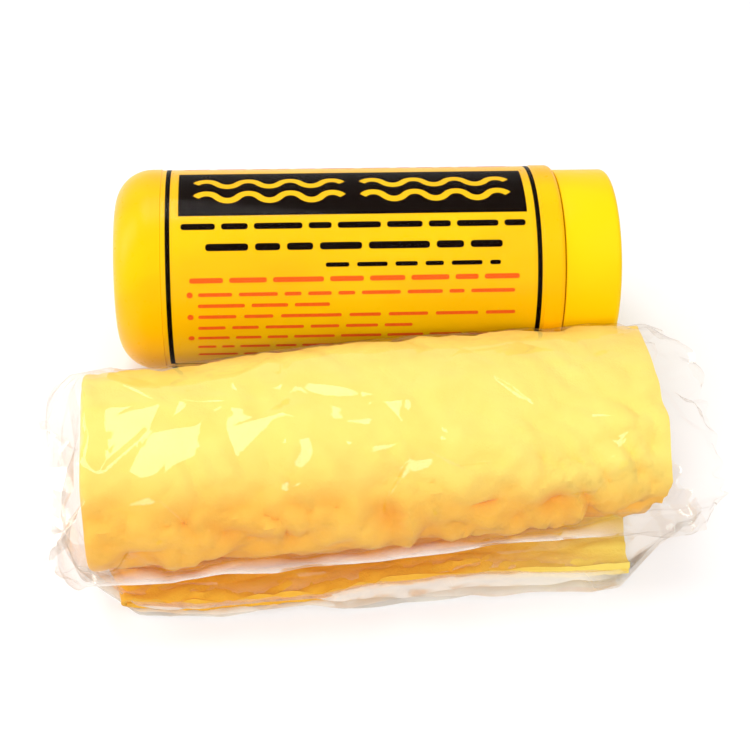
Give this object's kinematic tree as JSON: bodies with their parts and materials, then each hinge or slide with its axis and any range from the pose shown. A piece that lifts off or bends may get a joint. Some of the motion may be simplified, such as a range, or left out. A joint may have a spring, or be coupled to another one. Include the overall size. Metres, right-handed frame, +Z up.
{
  "type": "synthetic chamois cloth",
  "caption": "Rolled synthetic chamois cloth in a clear film bag, lying in front of its round moulded storage case with a screw cap and a printed film label.",
  "frame": {"origin": "on the surface that the set lies on, under the middle of the whole set", "axes": "+X along the case's axis towards its cap, +Y from the rolled cloth towards the case, +Z up"},
  "size_m": [0.2102, 0.166, 0.0699],
  "materials": {
    "case_plastic": "satin-gloss blow-moulded polyethylene, warm yellow",
    "cap_plastic": "satin-gloss injection-moulded polypropylene, the same yellow",
    "liner_foam": "matt white expanded polyethylene foam",
    "label_print": "glossy clear film printed in black and red",
    "chamois": "matt, soft, very finely porous pale yellow cloth",
    "clear_film": "glossy clear crinkled film"
  },
  "bodies": {
    "case": {"case_body": "case_plastic", "label_film": "label_print"},
    "liner": {"cap_liner": "liner_foam"},
    "cap": {"cap": "cap_plastic"},
    "bag": {"bag_film": "clear_film"},
    "cloth": {"cloth": "chamois"}
  },
  "joints": [
    {"name": "cap_lift", "type": "slide", "parent": "case", "child": "liner", "axis": [1, 0, 0], "range_m": [0, 0.018]},
    {"name": "cap_turn", "type": "hinge", "parent": "liner", "child": "cap", "pos_m": [0.06832, 0.04804, 0.03492], "axis": [1, 0, 0], "range_deg": [0, 540]},
    {"name": "bundle_lift", "type": "slide", "parent": "case", "child": "bag", "axis": [0, 0, 1], "range_m": [0, 0.12]},
    {"name": "cloth_draw", "type": "slide", "parent": "bag", "child": "cloth", "axis": [0.995, 0.1004, 0], "range_m": [0, 0.2]}
  ],
  "couplings": [
    {"joint": "cap_lift", "follows": "cap_turn", "m_per_rad": 0.0019099}
  ]
}
